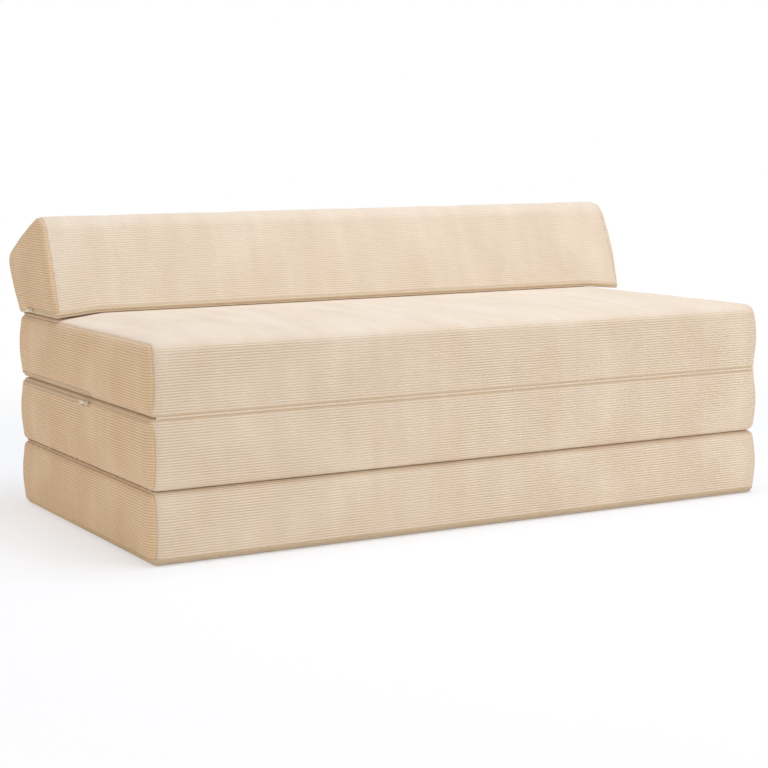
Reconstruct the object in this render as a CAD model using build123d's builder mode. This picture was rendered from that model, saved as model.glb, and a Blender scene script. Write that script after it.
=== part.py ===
from build123d import *
import os
from math import asin, atan2, cos, degrees, radians, sin, sqrt

# A folding sofa bed: three flat foam sections lie folded on each other, and a foam wedge stands
# on the top one as its backrest. Each section has its own sewn corduroy cover with a zipper,
# and cloth hinges join one section to the next along a long edge, so that all four unfold
# into a bed with the wedge as its pillow.
# +X runs along the sofa, its front faces -Y, +Z is up, and the origin is the middle of the
# face that it rests on. Sizes are in millimetres and angles in degrees.

# Overall sizes
flat_sections = 3
sofa_length = 1370.0
section_depth = 725.0
section_thickness = 132.0
backrest_base_depth = 238.0
backrest_top_width = 228.0
backrest_back_angle = 64.7

# How far each face swells out between its seams
wall_swell = 5.0
end_swell = 7.0
seat_crown = 14.0
seat_crown_fall = 120.0
seat_crest_margin = 1.0
corner_margin = 0.3
backrest_front_swell = 5.0
backrest_top_swell = 5.0
backrest_back_swell = 3.0
backrest_end_lift = 4.0

# Rounding of the edges
hinge_edge_radius = 5.0
free_edge_radius = 16.0
seat_front_radius = 18.0
slab_end_radius = 9.0
seat_end_radius = 16.0
upright_corner_radius = 24.0
backrest_crest_radius = 42.0
backrest_rear_radius = 16.0
backrest_foot_radius = 8.0
backrest_end_radius = 11.0

# Cloth, seams and clearances
cloth_thickness = 2.0
foam_play = 0.3
stack_gap = 0.4
hinge_clearance = 0.3
slab_seam_height = 6.0
backrest_seam_height = 4.0
end_seam_inset = 6.0

# Zippers, let into the cover between the base panel and the walls
zipper_slot_width = 7.0
zipper_slot_depth = 1.0
chain_width = 4.2
slab_zipper_reach = 400.0
backrest_plain_run = 93.0
tape_tail = 14.0
zipper_corner_margin = 40.0

# Zipper slider, with its bridge, and the pull that turns on a bar under the bridge
slider_clearance = 0.3
slider_length = 12.0
slider_head_width = 8.6
slider_tail_width = 7.0
slider_corner_radius = 1.4
slider_plate = 1.4
slider_rail_width = 0.8
slider_rail_length = 9.0
bridge_length = 7.6
bridge_width = 1.8
bridge_wall = 1.0
bar_radius = 0.65
pull_width = 7.0
pull_arm_width = 1.1
pull_thickness = 1.2
pull_eye_length = 7.0
pull_length = 28.0
pull_hole_radius = 2.1
pull_tilt = 12.0
pull_swing = 150.0

# Cloth hinges: a strip sewn to each section's wall, meeting at a folded bead
hinge_strip_thickness = 1.2
hinge_strip_reach = 16.0
hinge_strip_play = 0.2
hinge_bead_radius = 1.2
hinge_end_margin = 12.0

# Worked out from the sizes above
backrest_zipper_reach = backrest_base_depth - backrest_plain_run
stack_height = flat_sections * section_thickness
half_depth = section_depth / 2 - wall_swell
half_length = sofa_length / 2 - end_swell
hinge_reach = section_depth / 2 + hinge_clearance
end_seam_x = half_length - end_seam_inset
hinge_strip_length = 2 * (half_length - hinge_end_margin)
foam_inset = cloth_thickness + foam_play
reach = 2 * sofa_length


def arc_radius(half_span, swell):
    """Radius of the arc that swells out over a straight span."""
    return (half_span**2 + swell**2) / (2 * swell)


def arc_drop(half_span, swell, distance):
    """How far that arc has fallen from its crest at a distance from its middle."""
    radius = arc_radius(half_span, swell)
    return radius - sqrt(radius**2 - distance**2)


def drawn_in(corners, inset):
    """Corners of an outline whose sides have all moved inwards by the inset."""
    points = [Vector(*corner) for corner in corners]
    moved = []
    for before, corner, after in zip(points[-1:] + points[:-1], points, points[1:] + points[:1]):
        arriving = (corner - before).normalized()
        leaving = (after - corner).normalized()
        inwards = Vector(-arriving.Y - leaving.Y, arriving.X + leaving.X)
        moved.append(corner + inwards * (inset / (1 + arriving.dot(leaving))))
    return moved


def common_volume(outlines, inset):
    """The space inside every outline, each run through the whole sofa and drawn in by the inset."""
    with BuildPart() as block:
        for number, (plane, corners, swells, radii) in enumerate(outlines):
            corners = drawn_in(corners, inset)
            with BuildSketch(plane) as sketch:
                with BuildLine():
                    for start, end, swell in zip(corners, corners[1:] + corners[:1], swells):
                        along = (end - start).normalized()
                        middle = (start + end) / 2 + Vector(along.Y, -along.X) * swell
                        if swell:
                            ThreePointArc(start, middle, end)
                        else:
                            Line(start, end)
                make_face()
                for corner, radius in zip(corners, radii):
                    if radius > inset:
                        fillet(sketch.vertices().sort_by_distance(corner)[0], radius - inset)
            extrude(amount=reach, both=True, mode=Mode.INTERSECT if number else Mode.ADD)
    return block.part


def region(x_low, x_high, y_low, y_high, z_low, z_high):
    """A plain block of space between six limits."""
    with BuildPart() as block:
        with BuildSketch(Plane.XY.offset(z_low)):
            with Locations(((x_low + x_high) / 2, (y_low + y_high) / 2)):
                Rectangle(x_high - x_low, y_high - y_low)
        extrude(amount=z_high - z_low)
    return block.part


def write(builder, name):
    """Names a finished piece and writes its file."""
    builder.part.label = name
    export_step(builder.part, f"parts/{name}.step")


# Flat sections


def slab_outlines(low, high, edge_radii):
    """Outlines of a flat section, seen along the sofa, from its front and from above."""
    side = [(-half_depth, low), (half_depth, low), (half_depth, high), (-half_depth, high)]
    front = [(-half_length, low), (half_length, low), (half_length, high), (-half_length, high)]
    x_max = half_length + end_swell + corner_margin
    y_max = half_depth + wall_swell + corner_margin
    above = [(-x_max, -y_max), (x_max, -y_max), (x_max, y_max), (-x_max, y_max)]
    return [
        (Plane.YZ, side, [0, wall_swell, 0, wall_swell], edge_radii),
        (Plane.XZ, front, [0, end_swell, 0, end_swell], [slab_end_radius] * 4),
        (Plane.XY, above, [0] * 4, [upright_corner_radius] * 4),
    ]


def seat_outlines(low, high, edge_radii):
    """A flat section's outlines, with a top that is crowned and falls away to both ends."""
    side, front, above = slab_outlines(low, high, edge_radii)
    plane, corners, _, radii = side
    side = (plane, corners, [0, wall_swell, seat_crown, wall_swell], radii)
    crest_x = half_length - seat_crown_fall
    crest = high + seat_crown + seat_crest_margin
    plane, corners, _, radii = front
    corners = corners[:3] + [(crest_x, crest), (-crest_x, crest)] + corners[3:]
    radii = radii[:2] + [seat_end_radius, 0, 0, seat_end_radius]
    front = (plane, corners, [0, end_swell, 0, 0, 0, end_swell], radii)
    return [side, front, above]


def crown_block(lift):
    """The space under the wedge, raised by a lift. It follows the seat's crown, but stands clear
    of the seat towards both ends, where the seat's top falls away further."""
    past_edge_share = 1.1
    top = stack_height - stack_gap / 2 + lift
    wide = half_depth * past_edge_share
    drop = arc_drop(half_depth, seat_crown, wide)
    edge = top + seat_crown - drop
    side = [(-wide, 0), (wide, 0), (wide, edge), (-wide, edge)]
    wide = half_length * past_edge_share
    crest_x = half_length - seat_crown_fall
    crest = top + seat_crown + seat_crest_margin
    edge = top + backrest_end_lift
    crest_line = [(half_length, edge), (crest_x, crest), (-crest_x, crest), (-half_length, edge)]
    front = [(-wide, 0), (wide, 0), (wide, edge), *crest_line, (-wide, edge)]
    outlines = [(Plane.YZ, side, [0, 0, drop, 0], [0] * 4), (Plane.XZ, front, [0] * 8, [0] * 8)]
    return common_volume(outlines, 0)


# The backrest wedge, about its hinge line at the seat's rear top edge
backrest_hinge = Vector(0, hinge_reach, stack_height)
back_up = Vector(0, cos(radians(backrest_back_angle)), sin(radians(backrest_back_angle)))
back_in = Vector(0, -back_up.Z, back_up.Y)
backrest_low = stack_height + stack_gap / 2
back_face = backrest_hinge + back_in * (hinge_clearance + backrest_back_swell)
# The top face stands square to the back face, one section thickness from the hinge, so that it
# comes down flat on the floor when the wedge is turned over into the pillow.
rear_corner = back_face + back_up * (section_thickness - backrest_top_swell)
crest_corner = rear_corner + back_in * backrest_top_width
foot_corner = Vector(0, hinge_reach - backrest_base_depth, backrest_low)
heel_corner = back_face + back_up * ((backrest_low - back_face.Z) / back_up.Z)


def face_outline(corner, outward, swell):
    """A long bar of space under one long face of the wedge, with its two end edges rounded."""
    plane = Plane(origin=corner, x_dir=(1, 0, 0), z_dir=Vector(1, 0, 0).cross(outward))
    x_max = half_length + end_swell + corner_margin
    y_max = swell + corner_margin
    corners = [(-x_max, -reach), (x_max, -reach), (x_max, y_max), (-x_max, y_max)]
    return plane, corners, [0] * 4, [0, 0, backrest_end_radius, backrest_end_radius]


def backrest_outlines():
    """Outlines of the wedge, seen along the sofa, from its front and along its long faces."""
    profile = [foot_corner, heel_corner, rear_corner, crest_corner]
    side = [(corner.Y, corner.Z) for corner in profile]
    side_swells = [0, backrest_back_swell, backrest_top_swell, backrest_front_swell]
    side_radii = [
        backrest_foot_radius,
        hinge_edge_radius,
        backrest_rear_radius,
        backrest_crest_radius,
    ]
    top = crest_corner.Z + backrest_top_swell
    front = [
        (-half_length, backrest_low),
        (half_length, backrest_low),
        (half_length, top),
        (-half_length, top),
    ]
    front_up = (crest_corner - foot_corner).normalized()
    front_out = Vector(0, -front_up.Z, front_up.Y)
    return [
        (Plane.YZ, side, side_swells, side_radii),
        (Plane.XZ, front, [0, end_swell, 0, end_swell], [0] * 4),
        face_outline(rear_corner, back_up, backrest_top_swell),
        face_outline(foot_corner, front_out, backrest_front_swell),
        face_outline(rear_corner, -back_in, backrest_back_swell),
    ]


class Section:
    """One cushion: which side its base panel is on, and where its zipper runs."""

    seam_height = slab_seam_height
    zipper_reach = slab_zipper_reach

    def __init__(self, name, level, base_above, zipper_side, slider_end):
        self.name = name
        self.base_above = base_above
        self.zipper_side = zipper_side
        self.slider_end = slider_end
        self.low = level * section_thickness + (stack_gap / 2 if level else 0)
        self.high = (level + 1) * section_thickness - stack_gap / 2
        self.zipper_start = zipper_side * half_depth

    def volume(self, inset):
        """The whole cushion, drawn in on every side by the inset."""
        return common_volume(self.outlines, inset)

    def base_side(self, height):
        """The space on the base panel's side of a seam at that height."""
        if self.base_above:
            return region(-reach, reach, -reach, reach, self.high - height, reach)
        return region(-reach, reach, -reach, reach, -reach, self.low + height)

    def end_level(self, height):
        """Level on the ends, at that height above or below the base panel's edge."""
        if self.base_above:
            return self.high - height
        return self.low + height


class SlabSection(Section):
    """A flat section. Its edge radii go round from the front's lower edge to its upper one."""

    def __init__(self, name, level, edge_radii, outlines=slab_outlines, **sides):
        super().__init__(name, level, **sides)
        self.outlines = outlines(self.low, self.high, edge_radii)


class BackrestSection(Section):
    """The wedge, whose underside follows the seat's crown."""

    seam_height = backrest_seam_height
    zipper_reach = backrest_zipper_reach

    def __init__(self, name, **sides):
        super().__init__(name, flat_sections, **sides)
        self.outlines = backrest_outlines()
        self.high = crest_corner.Z + backrest_top_swell
        self.zipper_start = foot_corner.Y

    def volume(self, inset):
        with BuildPart() as block:
            add(common_volume(self.outlines, inset))
            add(crown_block(stack_gap + inset), mode=Mode.SUBTRACT)
        return block.part

    def base_side(self, height):
        return crown_block(stack_gap + height)

    def end_level(self, height):
        return self.low + backrest_end_lift + height


sections = [
    SlabSection(
        "base",
        0,
        [free_edge_radius, free_edge_radius, hinge_edge_radius, free_edge_radius],
        base_above=False,
        zipper_side=-1,
        slider_end=1,
    ),
    SlabSection(
        "middle",
        1,
        [free_edge_radius, hinge_edge_radius, free_edge_radius, hinge_edge_radius],
        base_above=True,
        zipper_side=1,
        slider_end=-1,
    ),
    SlabSection(
        "seat",
        2,
        [hinge_edge_radius, free_edge_radius, hinge_edge_radius, seat_front_radius],
        seat_outlines,
        base_above=False,
        zipper_side=1,
        slider_end=1,
    ),
    BackrestSection("backrest", base_above=False, zipper_side=-1, slider_end=-1),
]


def make_cushion(section):
    """Foam core and the sewn cover's four panels, with the slot that the zipper lies in."""
    outer = section.volume(0)
    recessed = section.volume(zipper_slot_depth)
    inner = section.volume(cloth_thickness)
    base_zone = section.base_side(section.seam_height)
    slot_end = section.zipper_start - section.zipper_side * (section.zipper_reach + tape_tail)
    y_limits = sorted((slot_end, section.zipper_side * reach))
    zipper_half = region(-reach, reach, *y_limits, -reach, reach)

    with BuildPart() as foam:
        add(section.volume(foam_inset))
    write(foam, f"{section.name}_foam_core")

    with BuildPart() as cover:
        add(outer)
        add(inner, mode=Mode.SUBTRACT)

    with BuildPart() as base_panel:
        add(cover.part)
        add(base_zone, mode=Mode.INTERSECT)
    write(base_panel, f"{section.name}_cover_base_panel")

    with BuildPart() as slot_zone:
        add(section.base_side(section.seam_height + zipper_slot_width))
        add(zipper_half, mode=Mode.INTERSECT)

    with BuildPart() as walls:
        add(cover.part)
        add(base_zone, mode=Mode.SUBTRACT)
        add(slot_zone.part, mode=Mode.SUBTRACT)

    with BuildPart() as wrap:
        add(walls.part)
        add(region(-end_seam_x, end_seam_x, -reach, reach, -reach, reach), mode=Mode.INTERSECT)
    write(wrap, f"{section.name}_cover_wrap")

    with BuildPart() as left_end:
        add(walls.part)
        add(region(-reach, -end_seam_x, -reach, reach, -reach, reach), mode=Mode.INTERSECT)
    write(left_end, f"{section.name}_cover_left_end")

    with BuildPart() as right_end:
        add(walls.part)
        add(region(end_seam_x, reach, -reach, reach, -reach, reach), mode=Mode.INTERSECT)
    write(right_end, f"{section.name}_cover_right_end")

    with BuildPart() as tape:
        add(recessed)
        add(inner, mode=Mode.SUBTRACT)
        add(slot_zone.part, mode=Mode.INTERSECT)
        add(base_zone, mode=Mode.SUBTRACT)
    write(tape, f"{section.name}_zipper_tape")

    chain_low = section.seam_height + (zipper_slot_width - chain_width) / 2
    with BuildPart() as chain:
        add(outer)
        add(recessed, mode=Mode.SUBTRACT)
        add(section.base_side(chain_low + chain_width), mode=Mode.INTERSECT)
        add(section.base_side(chain_low), mode=Mode.SUBTRACT)
        add(zipper_half, mode=Mode.INTERSECT)
    write(chain, f"{section.name}_zipper_chain")


def slider_plane(section):
    """Plane on the end wall at the closed slider: x to the sofa's back, z square off the cloth."""
    middle = (section.low + section.high) / 2
    half = (section.high - section.low) / 2
    level = section.end_level(section.seam_height + zipper_slot_width / 2)
    x = half_length + end_swell - arc_drop(half, end_swell, level - middle)
    slope = asin((level - middle) / arc_radius(half, end_swell))
    y = section.zipper_start - section.zipper_side * section.zipper_reach
    outward = Vector(section.slider_end * cos(slope), 0, sin(slope))
    return Plane(origin=(section.slider_end * x, y, level), x_dir=(0, 1, 0), z_dir=outward)


def make_slider(section):
    """Slider on the chain, and the pull that turns on its bar under the slider's bridge."""
    plane = slider_plane(section)
    plate_low = slider_clearance
    plate_high = plate_low + slider_plate
    bar_height = plate_high + slider_clearance + bar_radius
    bridge_high = bar_height + bar_radius + slider_clearance + bridge_wall
    rail_inner = chain_width / 2 + slider_clearance
    rail_low = slider_clearance - zipper_slot_depth
    inner_length = bridge_length - 2 * bridge_wall

    with BuildPart() as slider:
        with BuildSketch(plane.offset(plate_low)) as plate:
            with BuildLine():
                Polyline(
                    (-slider_length / 2, slider_head_width / 2),
                    (-slider_length / 2, -slider_head_width / 2),
                    (slider_length / 2, -slider_tail_width / 2),
                    (slider_length / 2, slider_tail_width / 2),
                    close=True,
                )
            make_face()
            fillet(plate.vertices(), slider_corner_radius)
        extrude(amount=slider_plate)
        with BuildSketch(plane.offset(rail_low)):
            rail_middle = rail_inner + slider_rail_width / 2
            with Locations((0, rail_middle), (0, -rail_middle)):
                Rectangle(slider_rail_length, slider_rail_width)
        extrude(amount=plate_low - rail_low)
        side_plane = Plane(origin=plane.origin, x_dir=plane.x_dir, z_dir=-plane.y_dir)
        with BuildSketch(side_plane):
            with BuildLine():
                foot = bridge_length / 2
                Line((-foot, plate_high), (foot, plate_high))
                Line((foot, plate_high), (foot - bridge_wall, bridge_high - bridge_wall))
                Line((-foot, plate_high), (bridge_wall - foot, bridge_high - bridge_wall))
                ThreePointArc(
                    (foot - bridge_wall, bridge_high - bridge_wall),
                    (0, bridge_high),
                    (bridge_wall - foot, bridge_high - bridge_wall),
                )
            make_face()
            with Locations((0, bar_height)):
                Rectangle(
                    inner_length - bridge_wall,
                    2 * (bar_radius + slider_clearance),
                    mode=Mode.SUBTRACT,
                )
        extrude(amount=bridge_width / 2, both=True)
    write(slider, f"{section.name}_zipper_slider")

    bar_point = plane.origin + plane.z_dir * bar_height
    tilt = radians(pull_tilt)
    pull_x = plane.x_dir * cos(tilt) + plane.z_dir * sin(tilt)
    pull_z = plane.z_dir * cos(tilt) - plane.x_dir * sin(tilt)
    pull_plane = Plane(origin=bar_point, x_dir=pull_x, z_dir=pull_z)
    arm_middle = bridge_width / 2 + slider_clearance + pull_arm_width / 2
    neck_width = 2 * arm_middle + pull_arm_width
    with BuildPart() as pull:
        with BuildSketch(pull_plane.offset(-pull_thickness / 2)):
            with Locations((pull_eye_length / 2, 0)):
                Rectangle(pull_eye_length, neck_width)
            with BuildLine():
                Polyline(
                    (pull_eye_length, neck_width / 2),
                    (pull_eye_length, -neck_width / 2),
                    (pull_length - pull_width / 2, -pull_width / 2),
                    (pull_length - pull_width / 2, pull_width / 2),
                    close=True,
                )
            make_face()
            with Locations((pull_length - pull_width / 2, 0)):
                Circle(pull_width / 2)
                Circle(pull_hole_radius, mode=Mode.SUBTRACT)
            with Locations((pull_eye_length / 2 - pull_arm_width, 0)):
                Rectangle(pull_eye_length, 2 * arm_middle - pull_arm_width, mode=Mode.SUBTRACT)
        extrude(amount=pull_thickness)
        with BuildSketch(Plane(origin=bar_point, x_dir=pull_x, z_dir=plane.y_dir)):
            Circle(bar_radius)
        extrude(amount=neck_width / 2, both=True)
    write(pull, f"{section.name}_zipper_pull")

    travel = section.zipper_reach - zipper_corner_margin
    print(
        f"slide {section.name}_zipper_slide along Y {section.zipper_side:+d}, range {travel:.2f} mm"
    )
    print(
        f"hinge {section.name}_pull_hinge at {bar_point.X:.4f} {bar_point.Y:.4f} {bar_point.Z:.4f}"
        f" axis {-plane.y_dir.X:.6f} {-plane.y_dir.Y:.6f} {-plane.y_dir.Z:.6f}"
        f" range 0 {pull_swing}"
    )


# Cloth hinges


def make_hinge_strip(name, axis, outward, away, wall_offset, wall_span, swell, has_bead):
    """A strip from the hinge line to its wall; one strip of each hinge carries the folded bead."""
    plane = Plane(origin=axis, x_dir=outward, z_dir=outward.cross(away))
    half = hinge_strip_thickness / 2

    def off_wall(distance):
        rise = swell - arc_drop(wall_span / 2, swell, wall_span / 2 - distance)
        return rise - wall_offset + hinge_strip_play + half

    far = Vector(off_wall(hinge_strip_reach), hinge_strip_reach)
    near = Vector(off_wall(hinge_edge_radius), hinge_edge_radius)
    with BuildPart() as strip:
        with BuildSketch(plane):
            for start, end in ((far, near), (near, Vector(0, 0))):
                run = end - start
                with Locations((start + end) / 2):
                    SlotCenterToCenter(
                        run.length,
                        hinge_strip_thickness,
                        rotation=degrees(atan2(run.Y, run.X)),
                    )
            if has_bead:
                Circle(hinge_bead_radius)
            else:
                Circle(hinge_bead_radius + hinge_strip_play, mode=Mode.SUBTRACT)
        extrude(amount=hinge_strip_length / 2, both=True)
    write(strip, name)


def make_hinge(name, lower, upper, side, level):
    """Both strips of the hinge between two sections, on one of the sofa's long sides."""
    axis = Vector(0, side * hinge_reach, level * section_thickness)
    outward = Vector(0, side, 0)
    wall = (hinge_reach - half_depth, section_thickness, wall_swell)
    make_hinge_strip(f"{name}_{lower}_strip", axis, outward, Vector(0, 0, -1), *wall, True)
    if upper == "backrest":
        wall = (hinge_clearance + backrest_back_swell, section_thickness, backrest_back_swell)
        outward = -back_in
        away = back_up
    else:
        away = Vector(0, 0, 1)
    make_hinge_strip(f"{name}_{upper}_strip", axis, outward, away, *wall, False)
    print(f"hinge {name} at {axis.X:.4f} {axis.Y:.4f} {axis.Z:.4f}")


os.makedirs("parts", exist_ok=True)
for cushion in sections:
    make_cushion(cushion)
    make_slider(cushion)
make_hinge("rear_hinge", "base", "middle", 1, 1)
make_hinge("front_hinge", "middle", "seat", -1, 2)
make_hinge("backrest_hinge", "seat", "backrest", 1, flat_sections)
print(f"backrest turns {90 + backrest_back_angle:.3f} degrees")
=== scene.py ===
"""Looks of a folding sofa bed: three flat foam sections and a wedge in ribbed corduroy covers,
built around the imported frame. Lengths are millimetres until a mesh is made, in the frame's axes:
+X along the sofa, front towards -Y, +Z up, origin in the middle of the face it rests on."""

import bmesh
import bpy
import numpy as np
from mathutils import Matrix, Vector


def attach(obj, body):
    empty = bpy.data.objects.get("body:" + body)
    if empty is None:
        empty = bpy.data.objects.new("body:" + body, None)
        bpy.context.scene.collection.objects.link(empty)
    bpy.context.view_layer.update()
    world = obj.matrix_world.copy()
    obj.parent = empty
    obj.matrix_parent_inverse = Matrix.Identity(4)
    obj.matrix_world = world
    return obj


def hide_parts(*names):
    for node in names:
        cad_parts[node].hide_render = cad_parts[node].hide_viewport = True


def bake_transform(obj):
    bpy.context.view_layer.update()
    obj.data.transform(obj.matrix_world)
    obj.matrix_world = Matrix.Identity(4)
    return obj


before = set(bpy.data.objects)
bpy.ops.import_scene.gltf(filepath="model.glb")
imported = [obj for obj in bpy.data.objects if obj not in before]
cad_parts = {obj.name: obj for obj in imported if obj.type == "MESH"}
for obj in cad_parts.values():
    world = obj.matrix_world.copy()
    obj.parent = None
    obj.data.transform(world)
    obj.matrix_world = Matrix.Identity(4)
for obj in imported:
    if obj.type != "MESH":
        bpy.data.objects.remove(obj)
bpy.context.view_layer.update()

# Sizes that the looks share with the frame, in millimetres and degrees
millimetre = 0.001
sofa_length = 1370.0
section_depth = 725.0
section_thickness = 132.0
wall_swell = 5.0
end_swell = 7.0
seat_crown = 14.0
seat_crown_fall = 120.0
seat_crest = 15.0
seat_crest_rounding = 1.5
stack_gap = 0.4
hinge_clearance = 0.3
end_seam_inset = 6.0
backrest_base_depth = 238.0
backrest_top_width = 228.0
backrest_back_angle = 64.7
backrest_swells = (5.0, 5.0, 3.0)
backrest_end_lift = 4.0
hinge_edge, free_edge, seat_front_edge = 5.0, 16.0, 18.0
backrest_foot_edge, backrest_crest_edge, backrest_rear_edge = 8.0, 42.0, 26.0
zipper_slot_width = 7.0
slab_zipper_reach, backrest_plain_run, tape_tail = 400.0, 93.0, 14.0

# Rounding of the end panels' edges with the walls, the top and the base panel
slab_end_edges = (24.0, 13.0, 13.0)
seat_end_edges = (24.0, 16.0, 13.0)
backrest_end_edges = (11.0, 11.0, 6.0)

# Worked out from the sizes above
half_depth = section_depth / 2 - wall_swell
half_length = sofa_length / 2 - end_swell
hinge_reach = section_depth / 2 + hinge_clearance
end_seam_x = half_length - end_seam_inset
stack_height = 3 * section_thickness
backrest_zipper_reach = backrest_base_depth - backrest_plain_run

# Corduroy: one rib, or wale, every five millimetres, drawn with four rows of points
wale_pitch = 5.0
wale_depth = 0.85
rows_per_wale = 4
column_step, base_row_step, edge_step = 11.0, 24.0, 0.8
wale_fade = 5.0
web_rib = 0.8
seat_stroked, backrest_stroked = 0.7, 0.45

# Filling the covers: the simulated copy's spacing, how small it starts, its spare cloth, how hard
# the foam holds it, and how much of its shape the fine cover takes, with a limit each way
cloth_step = 13.0
start_depth = 2.0
cloth_to_spare = 0.02
foam_hold, seam_held = 0.3, 0.5
filling_frames = 20
give_share = 0.26
give_outwards, give_inwards = 1.2, 1.8
give_start, give_full = 6.0, 26.0
folding_draw = 0.96

# A face is felt between these depths under it, and a folding wall a little deeper; and the
# backrest rests on the seat behind these two places
face_depth, folding_depth, face_top = -14.0, -16.0, -4.0
rests_from, rests_full = 40.0, 100.0

# Seams, where the edges of two panels turn in and are sewn together
groove_depth, groove_width, groove_at_fold = 2.0, 1.8, 0.25
pucker_depth, pucker_reach, pucker_pitch = 1.1, 9.0, 24.0
pucker_start, pucker_full, pucker_seed = 12.0, 26.0, 7
seam_gap, seam_spacing = 0.3, 0.5

# The zipper: its slot, the lip over it, and its tape and coil, which lie under the cover's surface
slot_floor, slot_edge_start, slot_edge_end = 2.5, -0.1, 0.8
slot_end_start, slot_end_full = -1.5, 0.5
lip_depth, lip_reach = 0.9, 2.0
tape_lap, tape_face, tape_back, tape_flat, tape_spacing = 0.3, -0.9, -1.7, 1.2, 4.0
coil_pitch = 2.4
coil_half_width, coil_half_height = 2.1, 0.55
coil_bump, coil_bump_middle, coil_pinch = 0.45, 0.6, 0.25
coil_sides = 10


def bulge(position, half_span, swell):
    """Height of a swollen face: a parabola that is nought at both ends of its span."""
    return swell * (1 - (position / half_span) ** 2)


def round_max(first, second, radius):
    """The larger of two distances, with the edge between them rounded: where both are within the
    radius of nought it is the length of the two, measured from a point one radius inside."""
    corner = np.hypot(np.maximum(first + radius, 0), np.maximum(second + radius, 0))
    return np.minimum(np.maximum(first, second) + radius, 0) + corner - radius


def step(value, low, high):
    """Smooth step from nought at the low value to one at the high value."""
    share = np.clip((value - low) / (high - low), 0, 1)
    return share * share * (3 - 2 * share)


def waves(points, wavelength, seed, count=10):
    """Smooth noise of about unit size: the sum of plane waves that run in seeded directions."""
    random = np.random.default_rng(seed)
    turns = random.normal(size=(count, points.shape[-1]))
    turns /= np.linalg.norm(turns, axis=1, keepdims=True)
    shortest, longest = 0.7, 1.5
    turns *= 2 * np.pi / (wavelength * random.uniform(shortest, longest, (count, 1)))
    total = np.zeros(points.shape[:-1])
    for turn, phase in zip(turns, random.uniform(0, 2 * np.pi, count)):
        total += np.sin(points @ turn + phase)
    return total / np.sqrt(count / 2)


def crown_height(x, y, end_lift=0.0):
    """Rise of the seat's top: a crown from front to back, cut by a slope that falls to each end."""
    crown = bulge(y, half_depth, seat_crown)
    from_end = half_length - np.abs(x)
    if end_lift:
        from_end = np.maximum(from_end, 0)
    slope = end_lift + (seat_crest - end_lift) * from_end / seat_crown_fall
    return -round_max(-crown, -slope, seat_crest_rounding)


def stations(length, coarse, first=0.8, growth=1.35):
    """Shares of a run, close together at both of its ends and coarse between them."""
    gaps = [first]
    while gaps[-1] * growth < coarse:
        gaps.append(gaps[-1] * growth)
    rise = np.cumsum([0.0, *gaps])
    count = max(2, int(round((length - 2 * rise[-1]) / coarse)))
    middle = np.linspace(rise[-1], length - rise[-1], count + 1)
    return np.concatenate([rise[:-1], middle, length - rise[-2::-1]]) / length


def run_of(points):
    """Length run along the first axis of a row of points, or of each column of a grid."""
    gaps = np.linalg.norm(np.diff(points, axis=0), axis=-1)
    return np.concatenate([np.zeros_like(gaps[:1]), np.cumsum(gaps, axis=0)])


def from_ends(points):
    """Distance of each point of a grid from the nearer end of its column."""
    run = run_of(points)
    return np.minimum(run, run[-1:] - run)


def resample(points, shares, first=0.0, last=None):
    """Points at those shares of the stretch of a row between two lengths along it."""
    run = run_of(points)
    last = run[-1] if last is None else last
    at = first + shares * (last - first)
    return np.stack([np.interp(at, run, column) for column in points.T], 1)


def coons(first, last, left, right, t, s):
    """Blend of four edges that share their corners: the first and last row, sampled at shares s,
    and the first and last column, sampled at shares t."""
    t, s = t[:, None, None], s[None, :, None]
    rows = (1 - t) * first[None] + t * last[None]
    columns = (1 - s) * left[:, None] + s * right[:, None]
    front, back = ((1 - s) * row[0] + s * row[-1] for row in (first, last))
    return rows + columns - ((1 - t) * front + t * back)


def from_grid(values, shares, rows, columns):
    """Values of a coarse grid, blurred once, read at other shares of its rows and columns."""
    for _ in range(2):
        padded = np.pad(values, ((1, 1), (0, 0)), mode="edge")
        values = ((padded[:-2] + 2 * padded[1:-1] + padded[2:]) / 4).T
    wide = np.stack([np.interp(columns, shares[1], row) for row in values])
    return np.stack([np.interp(rows, shares[0], column) for column in wide.T], 1)


def near_line(grid, line):
    """Distance of each point of a grid from the nearest point of a line, row by row."""
    return np.stack([np.linalg.norm(row[:, None] - line[None], axis=-1).min(1) for row in grid])


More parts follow.
